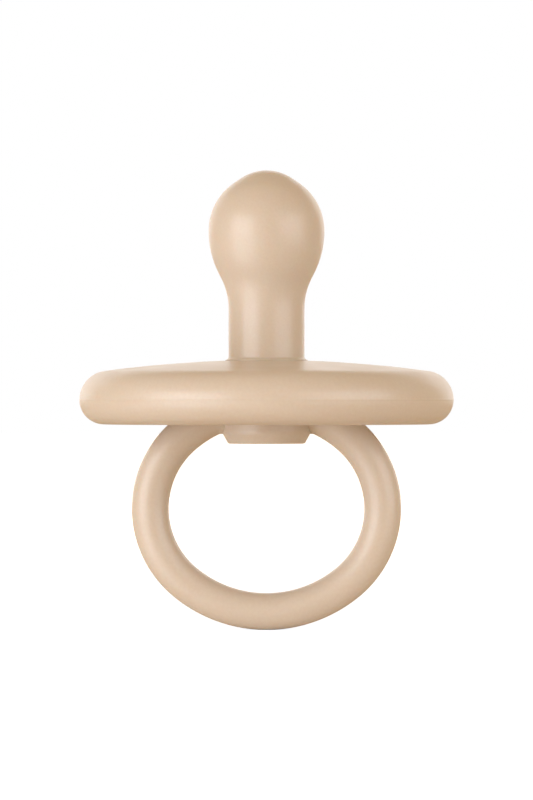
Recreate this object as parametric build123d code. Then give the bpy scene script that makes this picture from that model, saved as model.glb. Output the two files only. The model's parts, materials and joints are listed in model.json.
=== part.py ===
from build123d import *
import os
from math import atan2, cos, degrees, radians, sin, sqrt

# A round-shield pacifier in five pieces, in millimetres.
# Origin: middle of the knob's flat back face. +Z points along the teat, away from that face.
# The pull ring turns about a line parallel to X and hangs along -Z at rest.
# Every height is stacked up from the knob's back face, so the pieces stay seated on each other.

# ---- driving sizes ----

# pull ring: a round bar bent into an oval loop, with a straight journal across its top
RING_BAR_RADIUS = 2.16
RING_HALF_WIDTH = 13.67  # from the middle of the loop to the middle of the bar, along X
RING_HALF_HEIGHT = 12.15  # the same along Z, before the journal flattens the top
RING_ARC_SPLIT = 50.0  # degrees above level where the side arcs meet the top and bottom arcs
JOURNAL_BEND_RADIUS = 3.0  # middle of the bar, where the journal turns down into the loop
JOURNAL_CLEARANCE = 0.05  # running fit around the journal
JOURNAL_END_GAP = 0.1  # from the knob's side to the start of the bend

# knob: the cap on the back that closes the ring's bearing
KNOB_RADIUS = 5.2
KNOB_WALL = 1.17
KNOB_FLOOR = 1.1
KNOB_TAPER_INSET = 0.7  # how much smaller the flat face's radius is than the knob's
KNOB_TAPER_HEIGHT = 1.25
KNOB_FACE_EDGE = 0.3  # rounding around the flat face
KNOB_SHOULDER_EDGE = 0.9  # rounding where the taper meets the side

# plug: pin up into the teat's neck, disc under the teat's flange, boss down over the journal
BOSS_ROOF = 0.55  # material between the journal's saddle and the disc
BOSS_FLOOR_GAP = 0.12
PLUG_DISC_THICKNESS = 0.65
PIN_TOP_BELOW_CROWN = 0.35
PIN_CHAMFER = 0.5
SNAP_BEAD_RADIUS = 0.3
SNAP_BEAD_HEIGHT = 2.35  # above the knob's back face
SNAP_CLEARANCE = 0.03

# shield: a shallow dome with a rolled rim, hollow behind
SHIELD_RADIUS = 22.0
DOME_RADIUS = 140.0
WEB_THICKNESS = 2.2
SEAT_THICKNESS = 2.37  # at the middle, over the teat's flange
RIM_DROP = 4.67  # from the dome's crown down to the rim's widest line
RIM_ROLL_RADIUS = 2.9
VENT_RADIUS = 3.0
VENT_EDGE = 0.45  # rounding at both ends of each vent
COLLAR_WALL = 1.0
COLLAR_LIP = 0.25  # how far the lip reaches in under the plug's disc
COLLAR_LIP_HEIGHT = 0.3
COLLAR_EDGE = 0.25

# teat: a hollow bulb on a straight stem, with a neck and a flange behind the shield
STEM_RADIUS = 4.47
TEAT_WALL = 1.5
BULB_RADIUS = 6.82
BULB_HEIGHT = 15.18  # from the dome's crown up to the bulb's widest line
BULB_LOWER_RADIUS = 11.0
SHOULDER_RADIUS = 8.0
TIP_ANGLE = 34.0  # slope of the flank between the bulb and the tip
TIP_RADIUS = 5.4
LIP_FILLET = 0.6
LIP_EDGE = 0.12
FLANGE_OVERHANG = 1.8
FLANGE_THICKNESS = 0.75

# ---- sizes that follow ----

journal_hole_radius = RING_BAR_RADIUS + JOURNAL_CLEARANCE
pivot_z = KNOB_FLOOR + journal_hole_radius
disc_bottom_z = pivot_z + journal_hole_radius + BOSS_ROOF
flange_bottom_z = disc_bottom_z + PLUG_DISC_THICKNESS
seat_z = flange_bottom_z + FLANGE_THICKNESS
crown_z = seat_z + SEAT_THICKNESS
dome_centre_z = crown_z - DOME_RADIUS
rim_z = crown_z - RIM_DROP
bulb_z = crown_z + BULB_HEIGHT
bore_radius = STEM_RADIUS - TEAT_WALL
pocket_radius = STEM_RADIUS + FLANGE_OVERHANG
collar_radius = pocket_radius + COLLAR_WALL
boss_radius = KNOB_RADIUS - KNOB_WALL - SNAP_CLEARANCE


def on_shell(shell_radius, r):
    """The point at distance r from the axis on a sphere that shares the dome's centre."""
    return (r, dome_centre_z + sqrt(shell_radius**2 - r**2))


def rim_arc(shell_radius, wall_r):
    """The arc that is upright at (wall_r, rim_z) and runs smoothly into that sphere.

    Returns its radius and the point where it meets the sphere.
    """
    rise = rim_z - dome_centre_z
    radius = (shell_radius**2 - wall_r**2 - rise**2) / (2 * (shell_radius - wall_r))
    lean = atan2(wall_r - radius, rise)
    return radius, (shell_radius * sin(lean), dome_centre_z + shell_radius * cos(lean))


def turned(outline):
    """The solid that a closed outline of (distance from axis, height) sweeps about Z."""
    return revolve(make_face(Plane.XZ * outline), Axis.Z)


def journal_channel(opens_up):
    """The U-shaped space around the journal, open upwards or downwards.

    It runs out well past the knob on both sides, and on its open side.
    """
    length = 2 * SHIELD_RADIUS
    depth = crown_z
    side = depth / 2 if opens_up else -depth / 2
    tunnel = Pos(0, 0, pivot_z) * Rot(0, 90, 0) * Cylinder(journal_hole_radius, length)
    return tunnel + Pos(0, 0, pivot_z + side) * Box(length, 2 * journal_hole_radius, depth)


def make_shield():
    lower_shell = DOME_RADIUS - WEB_THICKNESS
    rim_inner_r = SHIELD_RADIUS - 2 * RIM_ROLL_RADIUS
    outer_radius, dome_edge = rim_arc(DOME_RADIUS, SHIELD_RADIUS)
    inner_radius, hollow_edge = rim_arc(lower_shell, rim_inner_r)
    collar_bottom_z = disc_bottom_z - COLLAR_LIP_HEIGHT
    lip_r = pocket_radius - COLLAR_LIP

    hole_top = on_shell(DOME_RADIUS, STEM_RADIUS)
    widest = (SHIELD_RADIUS, rim_z)
    rim_bottom = (SHIELD_RADIUS - RIM_ROLL_RADIUS, rim_z - RIM_ROLL_RADIUS)
    rim_inside = (rim_inner_r, rim_z)
    collar_top = on_shell(lower_shell, collar_radius)
    outline = RadiusArc(hole_top, dome_edge, DOME_RADIUS)
    outline += RadiusArc(dome_edge, widest, outer_radius)
    outline += ThreePointArc(widest, rim_bottom, rim_inside)
    outline += RadiusArc(rim_inside, hollow_edge, -inner_radius)
    outline += RadiusArc(hollow_edge, collar_top, -lower_shell)
    outline += Polyline(
        collar_top,
        (collar_radius, collar_bottom_z + COLLAR_EDGE),
        (collar_radius - COLLAR_EDGE, collar_bottom_z),
        (lip_r, collar_bottom_z),
        (lip_r, disc_bottom_z),
        (pocket_radius, disc_bottom_z),
        (pocket_radius, seat_z),
        (STEM_RADIUS, seat_z),
        hole_top,
    )
    shield = turned(outline)

    # the vents are midway between the collar and the start of the rim's roll
    vent_offset = (collar_radius + hollow_edge[0]) / 2
    vent = Pos(vent_offset, 0, crown_z) * Cylinder(VENT_RADIUS, 4 * SEAT_THICKNESS)
    before = shield.edges()
    shield -= vent
    shield -= mirror(vent, Plane.YZ)
    vent_edges = (shield.edges() - before).filter_by(GeomType.LINE, reverse=True)
    return fillet(vent_edges, VENT_EDGE)


def teat_arcs(inset):
    """The teat's curved outline from its tip down to the straight stem, moved inwards by inset.

    Returns the joined arcs, the point on the axis and the point at the top of the stem.
    """
    slope = radians(TIP_ANGLE)
    tip_centre_z = bulb_z + (BULB_RADIUS - TIP_RADIUS) / cos(slope)
    tip_r = TIP_RADIUS - inset
    bulb_r = BULB_RADIUS - inset
    lower_r = BULB_LOWER_RADIUS - inset
    shoulder_r = SHOULDER_RADIUS + inset
    lower_x = BULB_RADIUS - BULB_LOWER_RADIUS
    span = BULB_LOWER_RADIUS + SHOULDER_RADIUS
    across = STEM_RADIUS + SHOULDER_RADIUS - lower_x
    stem_top_z = bulb_z - sqrt(span**2 - across**2)

    tip = (0, tip_centre_z + tip_r)
    tip_end = (tip_r * sin(slope), tip_centre_z + tip_r * cos(slope))
    bulb_start = (bulb_r * sin(slope), bulb_z + bulb_r * cos(slope))
    widest = (bulb_r, bulb_z)
    bend = lower_r / span
    shoulder = (lower_x + across * bend, bulb_z + (stem_top_z - bulb_z) * bend)
    stem_top = (STEM_RADIUS - inset, stem_top_z)
    arcs = RadiusArc(tip, tip_end, tip_r)
    arcs += Line(tip_end, bulb_start)
    arcs += RadiusArc(bulb_start, widest, bulb_r)
    arcs += RadiusArc(widest, shoulder, lower_r)
    arcs += RadiusArc(shoulder, stem_top, -shoulder_r)
    return arcs, tip, stem_top


def make_teat():
    outside, tip, stem_top = teat_arcs(0)
    inside, cavity_tip, bore_top = teat_arcs(TEAT_WALL)
    lip_r = STEM_RADIUS + LIP_FILLET
    lip_under = on_shell(DOME_RADIUS, lip_r)
    lip_top = (lip_r, lip_under[1] + LIP_EDGE)
    fillet_top = (STEM_RADIUS, lip_top[1] + LIP_FILLET)
    neck_top = on_shell(DOME_RADIUS, STEM_RADIUS)
    outline = outside + inside
    outline += Line(stem_top, fillet_top)
    outline += RadiusArc(fillet_top, lip_top, -LIP_FILLET)
    outline += Line(lip_top, lip_under)
    outline += RadiusArc(lip_under, neck_top, -DOME_RADIUS)
    outline += Polyline(
        neck_top,
        (STEM_RADIUS, seat_z),
        (pocket_radius, seat_z),
        (pocket_radius, flange_bottom_z),
        (bore_radius, flange_bottom_z),
        bore_top,
    )
    outline += Line(cavity_tip, tip)
    return turned(outline)


def snap_bead(clearance):
    """The ring-shaped bead around the plug's boss, or with clearance the groove it snaps into."""
    return Pos(0, 0, SNAP_BEAD_HEIGHT) * Torus(boss_radius, SNAP_BEAD_RADIUS + clearance)


def make_teat_plug():
    pin_top_z = crown_z - PIN_TOP_BELOW_CROWN
    boss_bottom_z = KNOB_FLOOR + BOSS_FLOOR_GAP
    plug = turned(
        Polyline(
            (0, pin_top_z),
            (bore_radius - PIN_CHAMFER, pin_top_z),
            (bore_radius, pin_top_z - PIN_CHAMFER),
            (bore_radius, flange_bottom_z),
            (pocket_radius, flange_bottom_z),
            (pocket_radius, disc_bottom_z),
            (boss_radius, disc_bottom_z),
            (boss_radius, boss_bottom_z),
            (0, boss_bottom_z),
            close=True,
        )
    )
    return plug + snap_bead(0) - journal_channel(opens_up=False)


def make_knob():
    shell = turned(
        Polyline(
            (0, 0),
            (KNOB_RADIUS - KNOB_TAPER_INSET, 0),
            (KNOB_RADIUS, KNOB_TAPER_HEIGHT),
            (KNOB_RADIUS, disc_bottom_z),
            (0, disc_bottom_z),
            close=True,
        )
    )
    rounds = shell.edges().filter_by(GeomType.CIRCLE).sort_by(Axis.Z)
    shell = fillet(rounds[1], KNOB_SHOULDER_EDGE)
    face_edge = shell.edges().filter_by(GeomType.CIRCLE).sort_by(Axis.Z)[0]
    shell = fillet(face_edge, KNOB_FACE_EDGE)
    cavity_height = disc_bottom_z - KNOB_FLOOR
    cavity = Cylinder(boss_radius + SNAP_CLEARANCE, cavity_height)
    shell -= Pos(0, 0, KNOB_FLOOR + cavity_height / 2) * cavity
    return shell - snap_bead(SNAP_CLEARANCE) - journal_channel(opens_up=True)


def ring_path():
    """Half of the ring's centre line, from the middle of the journal to the foot of the loop."""
    split = radians(RING_ARC_SPLIT)
    side_x = (RING_HALF_WIDTH - RING_HALF_HEIGHT) * cos(split) / (cos(split) + sin(split) - 1)
    side_radius = RING_HALF_WIDTH - side_x
    top_radius = side_radius + side_x / cos(split)
    journal_end = KNOB_RADIUS + JOURNAL_END_GAP
    drop = sqrt((top_radius - JOURNAL_BEND_RADIUS) ** 2 - journal_end**2)
    bend_turn = degrees(atan2(journal_end, drop))
    top_turn = 90 - RING_ARC_SPLIT - bend_turn
    journal = Line((0, pivot_z), (journal_end, pivot_z))
    bend = JernArc(journal @ 1, journal % 1, JOURNAL_BEND_RADIUS, -bend_turn)
    top = JernArc(bend @ 1, bend % 1, top_radius, -top_turn)
    side = JernArc(top @ 1, top % 1, side_radius, -2 * RING_ARC_SPLIT)
    foot = JernArc(side @ 1, side % 1, top_radius, RING_ARC_SPLIT - 90)
    return Plane.XZ * (journal + bend + top + side + foot)


def make_ring():
    section = Plane((0, 0, pivot_z), z_dir=(1, 0, 0)) * Circle(RING_BAR_RADIUS)
    half = sweep(section, path=ring_path())
    return half + mirror(half, Plane.YZ)


pieces = {
    "teat": make_teat,
    "shield": make_shield,
    "teat_plug": make_teat_plug,
    "knob": make_knob,
    "pull_ring": make_ring,
}

os.makedirs("parts", exist_ok=True)
for name, make in pieces.items():
    export_step(make(), f"parts/{name}.step")
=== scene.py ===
import json
from math import atan2, ceil, cos, degrees, hypot, pi, radians, sin, sqrt

import bmesh
import bpy
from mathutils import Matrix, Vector
from mathutils.geometry import delaunay_2d_cdt


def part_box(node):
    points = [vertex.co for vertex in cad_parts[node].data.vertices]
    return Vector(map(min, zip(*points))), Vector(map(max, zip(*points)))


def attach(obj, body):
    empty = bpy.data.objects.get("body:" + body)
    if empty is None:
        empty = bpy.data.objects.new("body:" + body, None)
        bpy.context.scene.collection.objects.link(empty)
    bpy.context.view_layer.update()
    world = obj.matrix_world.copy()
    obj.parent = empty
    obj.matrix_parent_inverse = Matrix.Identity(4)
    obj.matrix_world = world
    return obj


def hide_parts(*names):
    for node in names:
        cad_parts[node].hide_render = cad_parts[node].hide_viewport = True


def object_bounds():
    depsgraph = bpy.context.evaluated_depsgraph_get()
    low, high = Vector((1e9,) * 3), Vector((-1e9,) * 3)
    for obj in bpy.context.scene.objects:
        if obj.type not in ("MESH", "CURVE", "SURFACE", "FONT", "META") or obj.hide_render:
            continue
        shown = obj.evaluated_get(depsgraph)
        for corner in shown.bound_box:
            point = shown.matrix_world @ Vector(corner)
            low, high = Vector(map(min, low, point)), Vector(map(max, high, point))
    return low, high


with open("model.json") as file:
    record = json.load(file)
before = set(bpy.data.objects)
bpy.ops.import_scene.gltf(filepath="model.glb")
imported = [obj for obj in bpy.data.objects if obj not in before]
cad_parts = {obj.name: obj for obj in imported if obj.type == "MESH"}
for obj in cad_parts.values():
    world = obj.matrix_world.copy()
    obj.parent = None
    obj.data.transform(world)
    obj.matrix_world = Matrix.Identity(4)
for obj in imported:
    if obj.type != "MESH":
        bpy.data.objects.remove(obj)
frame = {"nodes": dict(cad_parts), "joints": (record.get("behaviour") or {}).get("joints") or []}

cad_low, cad_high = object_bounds()
MM = 0.001

# Sizes are in millimetres. The large ones are read from the frame's boxes further down.
# These are the ones that a box can't give, such as walls and the radii of domes, rolls and rounds.
DOME_RADIUS = 140.0
DOME_LOWER_RADIUS = 137.8
RIM_ROLL_RADIUS = 2.9
VENT_RADIUS = 3.0
VENT_EDGE = 0.45  # rounding at both ends of each vent
COLLAR_WALL = 1.0
COLLAR_LIP = 0.25
COLLAR_LIP_HEIGHT = 0.3
COLLAR_EDGE = 0.25
SEAT_THICKNESS = 2.37

STEM_RADIUS = 4.47
TEAT_WALL = 1.5
FLANGE_THICKNESS = 0.75
BULB_LOWER_RADIUS = 11.0
SHOULDER_RADIUS = 8.0
TIP_ANGLE = 34.0  # slope of the flank between the bulb and the tip
TIP_RADIUS = 5.4
LIP_FILLET = 0.38  # the stem's flare onto the dome
LIP_EDGE = 0.1

RING_HALF_HEIGHT = 12.15
RING_ARC_SPLIT = 50.0  # degrees above level where the side arcs meet the top and bottom arcs
JOURNAL_BEND_RADIUS = 3.0
JOURNAL_END_GAP = 0.1

HAIRLINE_WIDTH = 0.16  # the parting line that the mould leaves
HAIRLINE_HEIGHT = 0.018

# mesh fineness
TURN_STEPS = 240  # around every turned piece
VENT_STEPS = 96  # around each vent
VENT_EDGE_STEPS = 8
DOME_SPACING = 0.75  # between the rows of points on the dome
TIP_STEP = 1.0  # degrees from the teat's very tip to the first row of points around it
BAR_STEPS = 24  # around half of the ring's bar


# ---- outlines: lists of (distance from the axis, height) ----

def at_angle(centre, radius, angle):
    """The point at a distance from the centre, in a direction in degrees from level."""
    a = radians(angle)
    return (centre[0] + radius * cos(a), centre[1] + radius * sin(a))


def arc(centre, radius, start, end, step=4.0):
    """Points on an arc about centre, from one direction to another, in degrees from level."""
    count = max(2, ceil(abs(end - start) / step))
    return [at_angle(centre, radius, start + (end - start) * i / count) for i in range(count + 1)]


def direction(centre, point):
    """The point's direction from the centre, in degrees from level."""
    return degrees(atan2(point[1] - centre[1], point[0] - centre[0]))


def arc_between(centre, start, end, step=4.0):
    """The shorter arc about centre that joins two points at the same distance from it."""
    a, b = direction(centre, start), direction(centre, end)
    b = a + (b - a + 180) % 360 - 180
    return arc(centre, hypot(start[0] - centre[0], start[1] - centre[1]), a, b, step)


def joined(*parts):
    """The parts end to end, without the points they share."""
    outline = []
    for part in parts:
        for point in part:
            if not outline or hypot(point[0] - outline[-1][0], point[1] - outline[-1][1]) > 1e-4:
                outline.append(point)
    return outline


def ridge_rise(share):
    """The parting line's height at a share, -1 to 1, of its half width."""
    return HAIRLINE_HEIGHT * (1 + cos(pi * share)) / 2


def ridge_reach(radius):
    """Half the parting line's width as degrees on a surface of this radius."""
    return degrees(HAIRLINE_WIDTH / 2 / radius)


def ridge(centre, radius, shares):
    """Points on the parting line's low rounded ridge, which stands on an arc at level."""
    return [at_angle(centre, radius + ridge_rise(share), ridge_reach(radius) * share) for share in shares]


# ---- meshes ----

def circle(centre_x, radius, steps, phase=0.0):
    """Points around a circle in the XY plane, turned on by a share of one step."""
    turns = [2 * pi * (i + phase) / steps for i in range(steps)]
    return [Vector((centre_x + radius * cos(a), radius * sin(a))) for a in turns]


def bridge(bm, one, two):
    """Faces between two closed rows of vertices, or between a row and a single vertex."""
    steps = max(len(one), len(two))
    for i in range(steps):
        j = (i + 1) % steps
        corners = (one[i % len(one)], two[i % len(two)], two[j % len(two)], one[j % len(one)])
        bm.faces.new(list(dict.fromkeys(corners)))


def lathe(bm, outline):
    """Turns an outline about Z. A point on the axis becomes one vertex."""
    rows = []
    for r, z in outline:
        around = circle(0, r, TURN_STEPS) if r > 1e-6 else [Vector((0, 0))]
        rows.append([bm.verts.new((p.x * MM, p.y * MM, z * MM)) for p in around])
    for one, two in zip(rows, rows[1:]):
        bridge(bm, one, two)


def finished(bm, name, sharp_angle=35.0):
    """Welds, orients and smooths the mesh, and returns its object."""
    bmesh.ops.remove_doubles(bm, verts=bm.verts, dist=1e-4 * MM)
    bmesh.ops.recalc_face_normals(bm, faces=bm.faces)
    mesh = bpy.data.meshes.new(name)
    bm.to_mesh(mesh)
    bm.free()
    mesh.shade_smooth()
    mesh.set_sharp_from_angle(angle=radians(sharp_angle))
    piece = bpy.data.objects.new(name, mesh)
    bpy.context.scene.collection.objects.link(piece)
    return piece


# ---- sizes from the frame ----

def box_mm(node):
    """The low and high corners of a CAD node's box."""
    low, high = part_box(node)
    return low / MM, high / MM


shield_low, shield_high = box_mm("shield")
teat_low, teat_high = box_mm("teat")
_, plug_high = box_mm("teat_plug")
_, knob_high = box_mm("knob")
_, ring_high = box_mm("pull_ring")

shield_radius = shield_high.x
rim_z = shield_low.z + RIM_ROLL_RADIUS
flange_bottom_z = teat_low.z
seat_z = flange_bottom_z + FLANGE_THICKNESS
crown_z = seat_z + SEAT_THICKNESS
disc_bottom_z = knob_high.z
dome_centre = (0.0, crown_z - DOME_RADIUS)
pocket_radius = plug_high.x
collar_radius = pocket_radius + COLLAR_WALL
bulb_radius = teat_high.x
pivot_z = frame["joints"][0]["pos_m"][2] / MM
ring_bar_radius = ring_high.z - pivot_z


# ---- shield ----

def on_shell(shell_radius, r):
    """The point of one of the dome's two spheres at a distance from the axis."""
    return (r, dome_centre[1] + sqrt(shell_radius**2 - r**2))


def rim_arc(shell_radius, wall_radius):
    """The arc that is upright at the rim's widest line and runs smoothly into a shell.

    Returns its centre, its radius and the point where it meets the shell.
    """
    rise = rim_z - dome_centre[1]
    radius = (shell_radius**2 - wall_radius**2 - rise**2) / (2 * (shell_radius - wall_radius))
    lean = atan2(wall_radius - radius, rise)
    meeting = (shell_radius * sin(lean), dome_centre[1] + shell_radius * cos(lean))
    return (wall_radius - radius, rim_z), radius, meeting


def rim_outline(dome_start, hollow_side):
    """From a point on the dome over the rolled rim, and up the hollow's side."""
    outer_centre, outer_radius, dome_edge = rim_arc(DOME_RADIUS, shield_radius)
    roll_centre = (shield_radius - RIM_ROLL_RADIUS, rim_z)
    edge_angle = direction(outer_centre, dome_edge)
    return joined(
        arc_between(dome_centre, dome_start, dome_edge, step=0.4),
        arc(outer_centre, outer_radius, edge_angle, ridge_reach(outer_radius), step=3.0),
        ridge(outer_centre, outer_radius, (1.0, 0.75, 0.45, 0.15)),
        ridge(roll_centre, RIM_ROLL_RADIUS, (-0.15, -0.45, -0.75, -1.0)),
        arc(roll_centre, RIM_ROLL_RADIUS, -ridge_reach(RIM_ROLL_RADIUS), -180.0),
        hollow_side,
    )


def hub_outline():
    """The collar in the hollow, the plug's pocket, the hole for the teat, and the dome's crown."""
    collar_bottom_z = disc_bottom_z - COLLAR_LIP_HEIGHT
    lip_radius = pocket_radius - COLLAR_LIP
    edge_centre = (collar_radius - COLLAR_EDGE, collar_bottom_z + COLLAR_EDGE)
    hole_edge = on_shell(DOME_RADIUS, STEM_RADIUS)
    return joined(
        [on_shell(DOME_LOWER_RADIUS, collar_radius)],
        arc(edge_centre, COLLAR_EDGE, 0.0, -90.0, step=15.0),
        [(lip_radius, collar_bottom_z), (lip_radius, disc_bottom_z)],
        [(pocket_radius, disc_bottom_z), (pocket_radius, seat_z), (STEM_RADIUS, seat_z)],
        arc_between(dome_centre, hole_edge, on_shell(DOME_RADIUS, collar_radius), step=0.3),
    )


def vented_shell(bm, shell_radius, inner_radius, outer_radius, vents):
    """A ring of one of the dome's spheres, with the vents' mouths left out of it."""
    mouth = VENT_RADIUS + VENT_EDGE
    around_vent = 0.3  # from a mouth to the row of points that follows it
    margin = 0.15  # kept clear along the ring's own edges

    def vent_distance(point):
        return min((point - Vector((cx, 0))).length for cx in vents)

    edges = [circle(0, inner_radius, TURN_STEPS), circle(0, outer_radius, TURN_STEPS)]
    edges += [circle(cx, mouth, VENT_STEPS) for cx in vents]
    flat, loops = [], []
    for points in edges:
        start, count = len(flat), len(points)
        flat += points
        loops += [(start + i, start + (i + 1) % count) for i in range(count)]

    fill = []
    for cx in vents:
        fill += circle(cx, mouth + around_vent, VENT_STEPS, 0.5)
    rows = int((outer_radius - inner_radius) / DOME_SPACING)
    for k in range(1, rows):
        row_radius = inner_radius + (outer_radius - inner_radius) * k / rows
        row = circle(0, row_radius, TURN_STEPS // 2, 0.5 * (k % 2))
        fill += [p for p in row if vent_distance(p) > mouth + 2 * around_vent]
    flat += [p for p in fill if inner_radius + margin < p.length < outer_radius - margin]
    points, _, triangles, *_ = delaunay_2d_cdt(flat, loops, [], 0, 1e-6)

    verts = [bm.verts.new((p.x * MM, p.y * MM, on_shell(shell_radius, p.length)[1] * MM)) for p in points]
    for triangle in triangles:
        middle = sum((points[i] for i in triangle), Vector((0, 0))) / 3
        if inner_radius < middle.length < outer_radius and vent_distance(middle) > mouth:
            bm.faces.new([verts[i] for i in triangle])


def vent_wall(bm, cx):
    """The rounded edges and the bore of one vent, from the dome down into the hollow."""
    rows = []
    for shell_radius, side in ((DOME_RADIUS, -1), (DOME_LOWER_RADIUS, 1)):
        edge = []
        for k in range(VENT_EDGE_STEPS + 1):
            turn = radians(90 * k / VENT_EDGE_STEPS)
            drop = side * VENT_EDGE * (1 - cos(turn))
            row = circle(cx, VENT_RADIUS + VENT_EDGE * (1 - sin(turn)), VENT_STEPS)
            heights = [on_shell(shell_radius, p.length)[1] + drop for p in row]
            edge.append([bm.verts.new((p.x * MM, p.y * MM, z * MM)) for p, z in zip(row, heights)])
        rows += edge if side < 0 else edge[::-1]
    for one, two in zip(rows, rows[1:]):
        bridge(bm, one, two)


def make_shield():
    inner_radius = shield_radius - 2 * RIM_ROLL_RADIUS
    inner_centre, _, hollow_edge = rim_arc(DOME_LOWER_RADIUS, inner_radius)
    outer_edge = hollow_edge[0]  # where the vented part of both shells ends
    hollow_side = arc_between(inner_centre, (inner_radius, rim_z), hollow_edge)
    vent_offset = (collar_radius + outer_edge) / 2
    vents = (-vent_offset, vent_offset)
    bm = bmesh.new()
    lathe(bm, hub_outline())
    lathe(bm, rim_outline(on_shell(DOME_RADIUS, outer_edge), hollow_side))
    for shell_radius in (DOME_RADIUS, DOME_LOWER_RADIUS):
        vented_shell(bm, shell_radius, collar_radius, outer_edge, vents)
    for cx in vents:
        vent_wall(bm, cx)
    return finished(bm, "shield_shell")


# ---- teat ----

def bulb_outline(inset):
    """The teat's outline from the tip down to the top of the stem, moved inwards by inset."""
    tip_centre = (0.0, teat_high.z - TIP_RADIUS)
    bulb_centre_z = tip_centre[1] - (bulb_radius - TIP_RADIUS) / cos(radians(TIP_ANGLE))
    lower_centre = (bulb_radius - BULB_LOWER_RADIUS, bulb_centre_z)
    across = STEM_RADIUS + SHOULDER_RADIUS - lower_centre[0]
    stem_top_z = bulb_centre_z - sqrt((BULB_LOWER_RADIUS + SHOULDER_RADIUS) ** 2 - across**2)
    shoulder_centre = (STEM_RADIUS + SHOULDER_RADIUS, stem_top_z)
    bend = degrees(atan2(bulb_centre_z - stem_top_z, across))
    return joined(
        [(0.0, teat_high.z - inset)],
        arc(tip_centre, TIP_RADIUS - inset, 90 - TIP_STEP, 90 - TIP_ANGLE, step=3.0),
        arc((0.0, bulb_centre_z), bulb_radius - inset, 90 - TIP_ANGLE, 0.0, step=3.0),
        arc(lower_centre, BULB_LOWER_RADIUS - inset, 0.0, -bend, step=3.0),
        arc(shoulder_centre, SHOULDER_RADIUS + inset, 180 - bend, 180.0, step=3.0),
    )


def make_teat():
    lip_radius = STEM_RADIUS + LIP_FILLET
    lip_under = on_shell(DOME_RADIUS, lip_radius)
    fillet_centre = (lip_radius, lip_under[1] + LIP_EDGE + LIP_FILLET)
    outline = joined(
        bulb_outline(0.0),
        arc(fillet_centre, LIP_FILLET, 180.0, 270.0, step=9.0),
        [lip_under, on_shell(DOME_RADIUS, STEM_RADIUS)],
        [(STEM_RADIUS, seat_z), (pocket_radius, seat_z), (pocket_radius, flange_bottom_z)],
        [(STEM_RADIUS - TEAT_WALL, flange_bottom_z)],
        bulb_outline(TEAT_WALL)[::-1],
    )
    bm = bmesh.new()
    lathe(bm, outline)
    return finished(bm, "teat_skin")


# ---- pull ring ----

def half_ring():
    """Half of the ring's centre line, from the middle of the journal to the foot: (x, z, turn)."""
    half_width = ring_high.x - ring_bar_radius
    split = radians(RING_ARC_SPLIT)
    side_x = (half_width - RING_HALF_HEIGHT) * cos(split) / (cos(split) + sin(split) - 1)
    side_radius = half_width - side_x
    top_radius = side_radius + side_x / cos(split)
    journal_end = knob_high.y + JOURNAL_END_GAP
    bend_turn = atan2(journal_end, sqrt((top_radius - JOURNAL_BEND_RADIUS) ** 2 - journal_end**2))
    arcs = (  # radius, turn, steps
        (JOURNAL_BEND_RADIUS, bend_turn, 12),
        (top_radius, pi / 2 - split - bend_turn, 24),
        (side_radius, 2 * split, 60),
        (top_radius, pi / 2 - split, 32),
    )
    journal_steps = 8
    stations = [(journal_end * i / journal_steps, pivot_z, 0.0) for i in range(journal_steps + 1)]
    for radius, sweep, steps in arcs:
        x, z, turn = stations[-1]
        cx, cz = x - radius * sin(turn), z - radius * cos(turn)
        for i in range(1, steps + 1):
            t = turn + sweep * i / steps
            stations.append((cx + radius * sin(t), cz + radius * cos(t), t))
    return stations


def bar_section():
    """Around the bar, in the ring's plane first: (direction in degrees, distance from the middle)."""
    reach = ridge_reach(ring_bar_radius)
    section = []
    for side in (0.0, 180.0):
        for share in (-1.0, -0.6, -0.25, 0.25, 0.6, 1.0):
            section.append((side + reach * share, ring_bar_radius + ridge_rise(share)))
        for i in range(1, BAR_STEPS):
            section.append((side + reach + (180 - 2 * reach) * i / BAR_STEPS, ring_bar_radius))
    return section


def make_ring():
    half = half_ring()
    loop = half[:-1] + [(-x, z, -turn) for x, z, turn in reversed(half[1:])]
    section = bar_section()
    bm = bmesh.new()
    rows = []
    for x, z, turn in loop:
        row = []
        for angle, r in section:
            out, y = r * cos(radians(angle)), r * sin(radians(angle))
            row.append(bm.verts.new(((x + out * sin(turn)) * MM, y * MM, (z + out * cos(turn)) * MM)))
        rows.append(row)
    for one, two in zip(rows, rows[1:] + rows[:1]):
        bridge(bm, one, two)
    return finished(bm, "ring_loop", 60.0)


# ---- materials, with their sizes in millimetres ----

SAND = (0.642, 0.548, 0.45)
SAND_DEEP = (0.626, 0.53, 0.43)
HARD = {"grain_size": 0.22, "grain_depth": 0.005, "subsurface": 0.3}  # the four hard plastic pieces
CLOUD_SIZE = 9.0  # of the pigment's paler and deeper clouds
MOTTLE = 0.06  # how strongly the fine specks show
SPECK_TO_GRAIN = 1.6  # how much larger a speck is than the mould's grain
SHEEN_SIZE = 3.5  # of the duller and glossier patches
ROUGHNESS_SPREAD = 0.04
NOISE_LOW, NOISE_HIGH = 0.3, 0.7  # most of a noise's values lie between these
SCATTER = (1.0, 0.5, 0.28)  # how far red, green and blue light run under the surface, by share
SCATTER_DEPTH = 0.6


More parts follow.
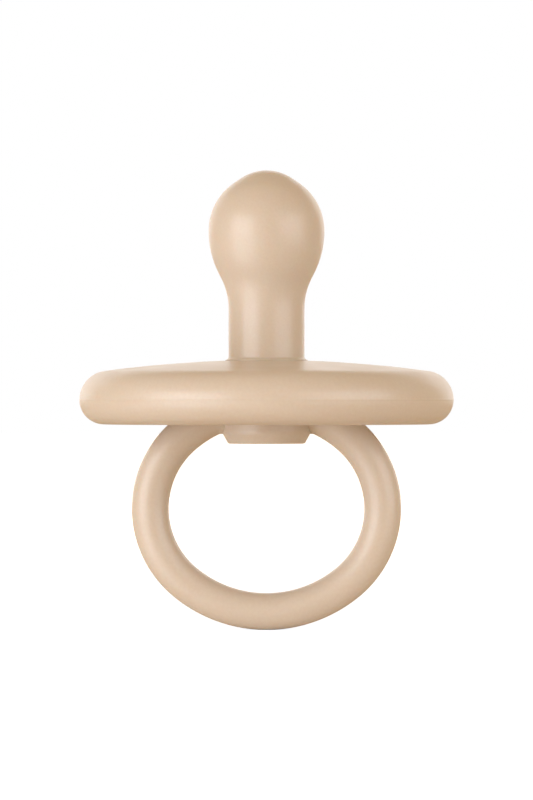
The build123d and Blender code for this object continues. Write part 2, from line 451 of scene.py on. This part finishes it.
def moulded(name, roughness, grain_size, grain_depth, subsurface):
    """A self-coloured moulded polymer: cloudy pigment, a fine mould texture and a satin surface."""
    m = bpy.data.materials.new(name)
    m.use_nodes = True
    nodes, links = m.node_tree.nodes, m.node_tree.links
    shader = nodes["Principled BSDF"]
    place = nodes.new("ShaderNodeTexCoord")

    def noise(size, detail, rough=0.5):
        n = nodes.new("ShaderNodeTexNoise")
        n.inputs["Scale"].default_value = 1 / (size * MM)
        n.inputs["Detail"].default_value = detail
        n.inputs["Roughness"].default_value = rough
        links.new(place.outputs["Object"], n.inputs["Vector"])
        return n.outputs["Fac"]

    pigment = nodes.new("ShaderNodeValToRGB")
    deep, light = pigment.color_ramp.elements
    deep.position, deep.color = NOISE_LOW, (*SAND_DEEP, 1)
    light.position, light.color = NOISE_HIGH, (*SAND, 1)
    links.new(noise(CLOUD_SIZE, 3.0), pigment.inputs["Fac"])

    mottle = nodes.new("ShaderNodeMix")
    mottle.data_type = "RGBA"
    mottle.blend_type = "OVERLAY"
    mottle.inputs["Factor"].default_value = MOTTLE
    links.new(pigment.outputs["Color"], mottle.inputs["A"])
    links.new(noise(grain_size * SPECK_TO_GRAIN, 1.0), mottle.inputs["B"])
    links.new(mottle.outputs["Result"], shader.inputs["Base Color"])

    gloss = nodes.new("ShaderNodeMapRange")
    gloss.inputs["From Min"].default_value = NOISE_LOW
    gloss.inputs["From Max"].default_value = NOISE_HIGH
    gloss.inputs["To Min"].default_value = roughness - ROUGHNESS_SPREAD
    gloss.inputs["To Max"].default_value = roughness + ROUGHNESS_SPREAD
    links.new(noise(SHEEN_SIZE, 4.0, 0.6), gloss.inputs["Value"])
    links.new(gloss.outputs["Result"], shader.inputs["Roughness"])

    grain = nodes.new("ShaderNodeBump")
    grain.inputs["Strength"].default_value = 1.0
    grain.inputs["Distance"].default_value = grain_depth * MM
    links.new(noise(grain_size, 2.0), grain.inputs["Height"])
    links.new(grain.outputs["Normal"], shader.inputs["Normal"])

    shader.inputs["IOR"].default_value = 1.45
    shader.inputs["Specular IOR Level"].default_value = 0.85
    shader.inputs["Subsurface Weight"].default_value = subsurface
    shader.inputs["Subsurface Radius"].default_value = SCATTER
    shader.inputs["Subsurface Scale"].default_value = SCATTER_DEPTH * MM
    return m


materials = {
    "teat": moulded("sand_silicone", 0.33, grain_size=0.16, grain_depth=0.004, subsurface=0.5),
    "shield": moulded("sand_shield", 0.33, **HARD),
    "teat_plug": moulded("sand_plug", 0.35, **HARD),
    "knob": moulded("sand_knob", 0.35, **HARD),
    "pull_ring": moulded("sand_ring", 0.35, **HARD),
}


# ---- the pieces, on their bodies ----

for node in ("teat_plug", "knob"):
    mesh = frame["nodes"][node].data
    mesh.materials.clear()
    mesh.materials.append(materials[node])

for node, make, body, slot in (
    ("teat", make_teat, "shield_body", "teat_silicone"),
    ("shield", make_shield, "shield_body", "shield_plastic"),
    ("pull_ring", make_ring, "ring_body", "ring_plastic"),
):
    piece = make()
    piece.data.materials.append(materials[node])
    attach(piece, body)
    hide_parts(node)


# ---- camera, lights and floor ----

WHITE = (1, 1, 1, 1)
BLACK = (0, 0, 0, 1)
ROOM_BOUNCE = (0.53, 0.3816, 0.2226, 1)  # the light that comes back off the room, warm and weak
FLOOR_BOUNCE = (0.78, 0.68, 0.54, 1)
FLOOR_GLOW = (0.6, 0.73, 0.85, 1)  # lifts the floor beside the object to white, short of its shadow
LAMP_COLOUR = (0.95, 1.0, 1.08)

# These sizes are in metres.
LAMP_DISTANCE = 0.6
FLOOR_REACH = 3.0
GLOW_START, GLOW_END = 0.06, 0.4  # where the floor's glow starts to rise, and where it is full

# The camera's sizes are in millimetres.
LENS = 200.0
SENSOR = 36.0
VIEW_HEIGHT = 94.12  # what the picture spans at the object
EYE_HEIGHT = 5.13


def add_object(name, data):
    item = bpy.data.objects.new(name, data)
    bpy.context.scene.collection.objects.link(item)
    return item


def add_camera():
    """Level with the shield's rim, on a long lens, as the photograph was taken."""
    camera = add_object("camera", bpy.data.cameras.new("camera"))
    camera.data.lens = LENS
    camera.data.sensor_width = SENSOR
    camera.location = (0.0, -VIEW_HEIGHT * MM * LENS / SENSOR, EYE_HEIGHT * MM)
    camera.rotation_euler = (radians(90), 0.0, 0.0)
    camera.data.clip_start = 0.01
    camera.data.clip_end = 20.0
    bpy.context.scene.camera = camera


def add_softbox(name, azimuth, elevation, width, height, power, distance=LAMP_DISTANCE):
    """A rectangular light that faces the object. Azimuth 0 is beside the camera, 90 on its right."""
    light = bpy.data.lights.new(name, "AREA")
    light.shape = "RECTANGLE"
    light.size, light.size_y = width, height
    light.energy = power
    light.color = LAMP_COLOUR
    box = add_object(name, light)
    a, e = radians(azimuth), radians(elevation)
    towards = Vector((sin(a) * cos(e), -cos(a) * cos(e), sin(e)))
    box.location = towards * distance
    box.rotation_euler = towards.to_track_quat("Z", "Y").to_euler()
    box.visible_camera = False


def colour_mix(tree, factor, a, b):
    """Blends two colours, each given as a value or as another node's output."""
    mix = tree.nodes.new("ShaderNodeMix")
    mix.data_type = "RGBA"
    tree.links.new(factor, mix.inputs["Factor"])
    for name, colour in (("A", a), ("B", b)):
        if isinstance(colour, tuple):
            mix.inputs[name].default_value = colour
        else:
            tree.links.new(colour, mix.inputs[name])
    return mix.outputs["Result"]


def is_camera_ray(tree):
    return tree.nodes.new("ShaderNodeLightPath").outputs["Is Camera Ray"]


def white_room():
    """White all around for the camera. As a light it is the warm, weaker bounce off the room."""
    world = bpy.data.worlds.new("studio")
    bpy.context.scene.world = world
    world.use_nodes = True
    tree = world.node_tree
    colour = colour_mix(tree, is_camera_ray(tree), ROOM_BOUNCE, WHITE)
    tree.links.new(colour, tree.nodes["Background"].inputs["Color"])


def light_table():
    """A wide white floor that glows for the camera only, fully white away from the object."""
    mesh = bpy.data.meshes.new("floor")
    signs = ((-1, -1), (1, -1), (1, 1), (-1, 1))
    mesh.from_pydata([(FLOOR_REACH * x, FLOOR_REACH * y, cad_low.z) for x, y in signs], [], [(0, 1, 2, 3)])
    floor = add_object("floor", mesh)
    floor.visible_shadow = False

    m = bpy.data.materials.new("floor_acrylic")
    m.use_nodes = True
    tree = m.node_tree
    shader = tree.nodes["Principled BSDF"]
    shader.inputs["Base Color"].default_value = FLOOR_BOUNCE
    shader.inputs["Roughness"].default_value = 0.9
    shader.inputs["Specular IOR Level"].default_value = 0.0
    shader.inputs["Emission Strength"].default_value = 1.0
    place = tree.nodes.new("ShaderNodeTexCoord")
    away = tree.nodes.new("ShaderNodeVectorMath")
    away.operation = "LENGTH"
    tree.links.new(place.outputs["Object"], away.inputs[0])
    rise = tree.nodes.new("ShaderNodeMapRange")
    rise.interpolation_type = "SMOOTHSTEP"
    rise.inputs["From Min"].default_value = GLOW_START
    rise.inputs["From Max"].default_value = GLOW_END
    tree.links.new(away.outputs["Value"], rise.inputs["Value"])
    glow = colour_mix(tree, rise.outputs["Result"], FLOOR_GLOW, WHITE)
    emission = colour_mix(tree, is_camera_ray(tree), BLACK, glow)
    tree.links.new(emission, shader.inputs["Emission Color"])
    mesh.materials.append(m)


add_camera()
white_room()
light_table()
add_softbox("key", -50, -3, width=0.56, height=0.7, power=3.7)
add_softbox("fill", 53, 10, width=0.6, height=0.45, power=1.6)
add_softbox("back", 180, 8, width=1.3, height=0.8, power=3.3, distance=0.7)
bpy.context.scene.view_settings.view_transform = "Standard"
